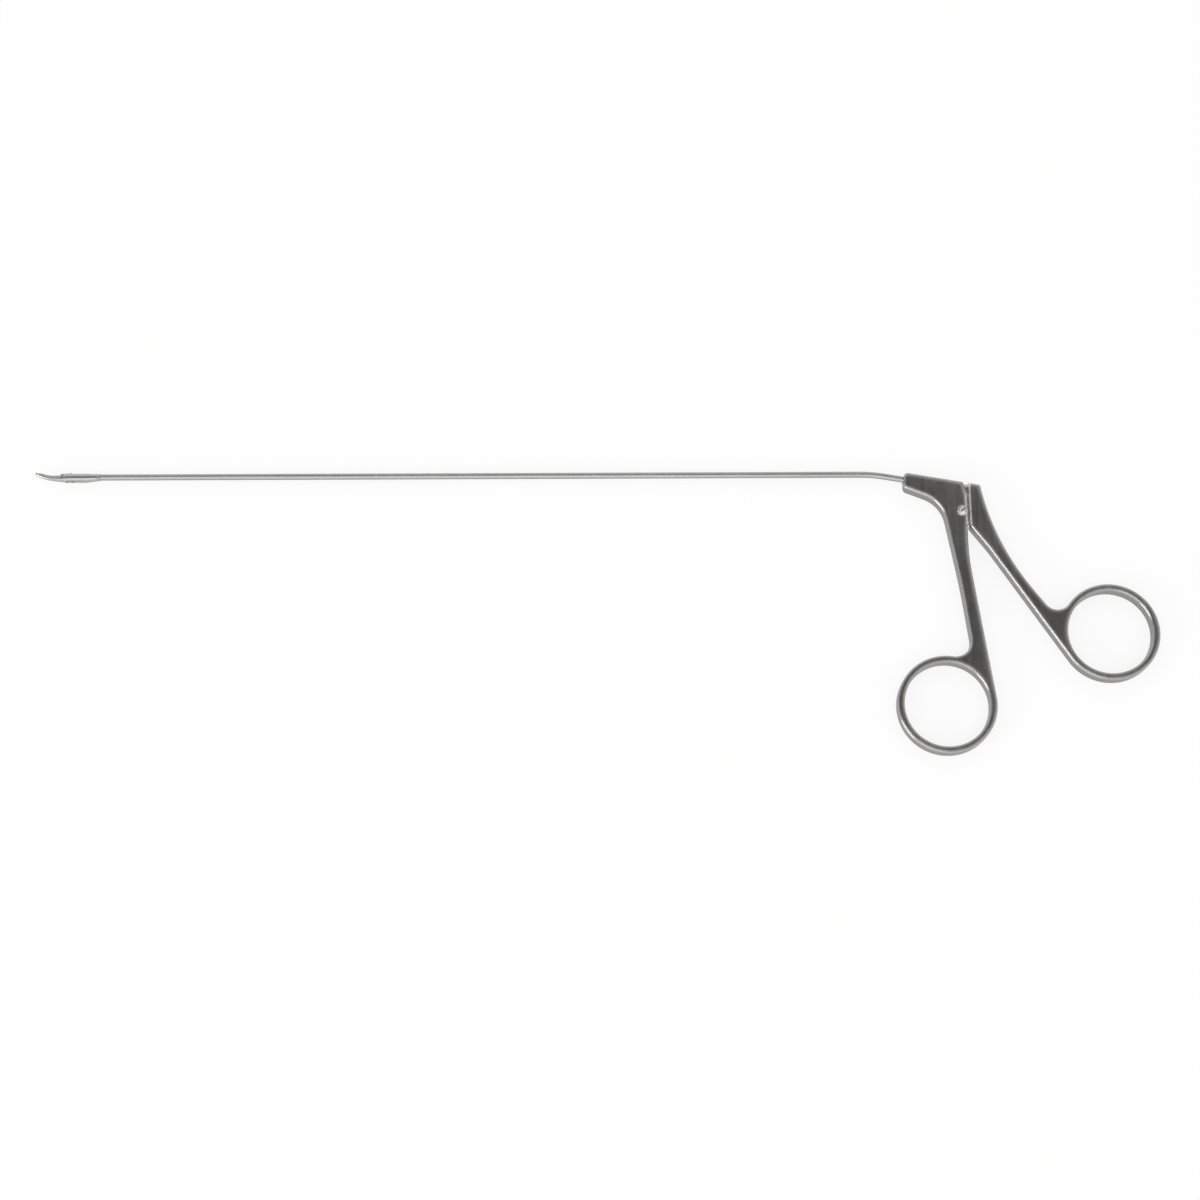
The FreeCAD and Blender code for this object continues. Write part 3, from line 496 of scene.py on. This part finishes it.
def make_world():
    world = bpy.data.worlds.new("studio")
    bpy.context.scene.world = world
    world.use_nodes = True
    graph = Graph(world.node_tree)
    surround = graph.add("ShaderNodeBackground")
    surround.inputs["Color"].default_value = WHITE
    graph.link(graph.spread(graph.seen(), 0.0, 1.0, SURROUND, 1.0), surround.inputs["Strength"])
    output = graph.add("ShaderNodeOutputWorld")
    graph.link(surround.outputs[0], output.inputs["Surface"])


def fade_in(axis, start):
    return (axis, start, start + CARD_FADE, 0.0, 1.0)


def fade_out(axis, end):
    return (axis, end - CARD_FADE, end, 1.0, 0.0)


def make_card(name, corners, greys, fades):
    """Grey card that only the metal sees. greys and each of fades are a ramp along one axis."""
    card, graph = add_sheet(name, corners, name + "_grey")
    place = graph.axes(graph.add("ShaderNodeTexCoord").outputs["Object"])
    grey = graph.add("ShaderNodeEmission")
    graph.link(graph.spread(place[greys[0]], *greys[1:]), grey.inputs["Strength"])
    cover = 1.0
    for axis, *ramp in fades:
        cover = graph.math("MINIMUM", graph.spread(place[axis], *ramp), cover)
    show_mix(graph, cover, graph.add("ShaderNodeBsdfTransparent"), grey)
    card.visible_camera = False
    card.visible_diffuse = False
    card.visible_shadow = False


def make_overhead_card():
    """The flat sides mirror this one. It is paler to the right."""
    left = TARGET.x - CARD_WIDTH / 2.0
    right = TARGET.x + CARD_WIDTH / 2.0
    outline = ((left, CARD_NEAR), (right, CARD_NEAR), (right, CARD_FAR), (left, CARD_FAR))
    corners = [(x, y, CARD_HEIGHT) for x, y in outline]
    fades = [fade_in("Y", CARD_NEAR), fade_out("Y", CARD_FAR)]
    make_card("overhead_card", corners, ("X", *CARD_TURN, *CARD_GREYS), fades)


def make_side_card():
    """The edges that face left mirror this one."""
    outline = ((SIDE_CARD_NEAR, 0.0), (SIDE_CARD_FAR, 0.0),
               (SIDE_CARD_FAR, SIDE_CARD_TOP), (SIDE_CARD_NEAR, SIDE_CARD_TOP))
    corners = [(SIDE_CARD_X, y, z) for y, z in outline]
    fades = [fade_in("Y", SIDE_CARD_NEAR), fade_out("Y", SIDE_CARD_FAR), fade_out("Z", SIDE_CARD_TOP)]
    make_card("side_card", corners, ("Z", 0.0, SIDE_CARD_TOP, *SIDE_CARD_GREYS), fades)


def make_lamp(name, azimuth, elevation, distance, width, height, power):
    """Soft box that faces the object. Azimuth 0 stands at -Y, 90 at +X."""
    lamp = bpy.data.lights.new(name, "AREA")
    lamp.shape = "RECTANGLE"
    lamp.size = width
    lamp.size_y = height
    lamp.energy = power
    holder = bpy.data.objects.new(name, lamp)
    turn = math.radians(azimuth)
    lift = math.radians(elevation)
    level = math.cos(lift)
    away = Vector((math.sin(turn) * level, -math.cos(turn) * level, math.sin(lift)))
    holder.location = away * distance
    holder.rotation_mode = "QUATERNION"
    holder.rotation_quaternion = away.to_track_quat("Z", "Y")
    bpy.context.scene.collection.objects.link(holder)


make_camera()
make_floor()
make_world()
make_overhead_card()
make_side_card()
make_lamp("key", azimuth=-12, elevation=50, distance=1.2, width=0.7, height=0.5, power=1.3)
make_lamp("left", azimuth=-60, elevation=16, distance=1.2, width=0.7, height=0.45, power=4.2)

dress(["front_handle", "rear_handle"], handle_steel())
dress(["shaft_tube"], shaft_steel())
dress(["fixed_jaw"], jaw_steel("housing_satin", "housing"))
dress(["upper_jaw"], jaw_steel("jaw_satin", "tail"))
dress(["pivot_screw", "jaw_pivot_pin"], screw_steel())
dress(["pull_rod", "rod_eye", "rod_cross_pin"], rod_steel())
dress(["rod_tongue", "tail_pin"], tongue_steel())

view = bpy.context.scene.view_settings
view.view_transform = "Standard"
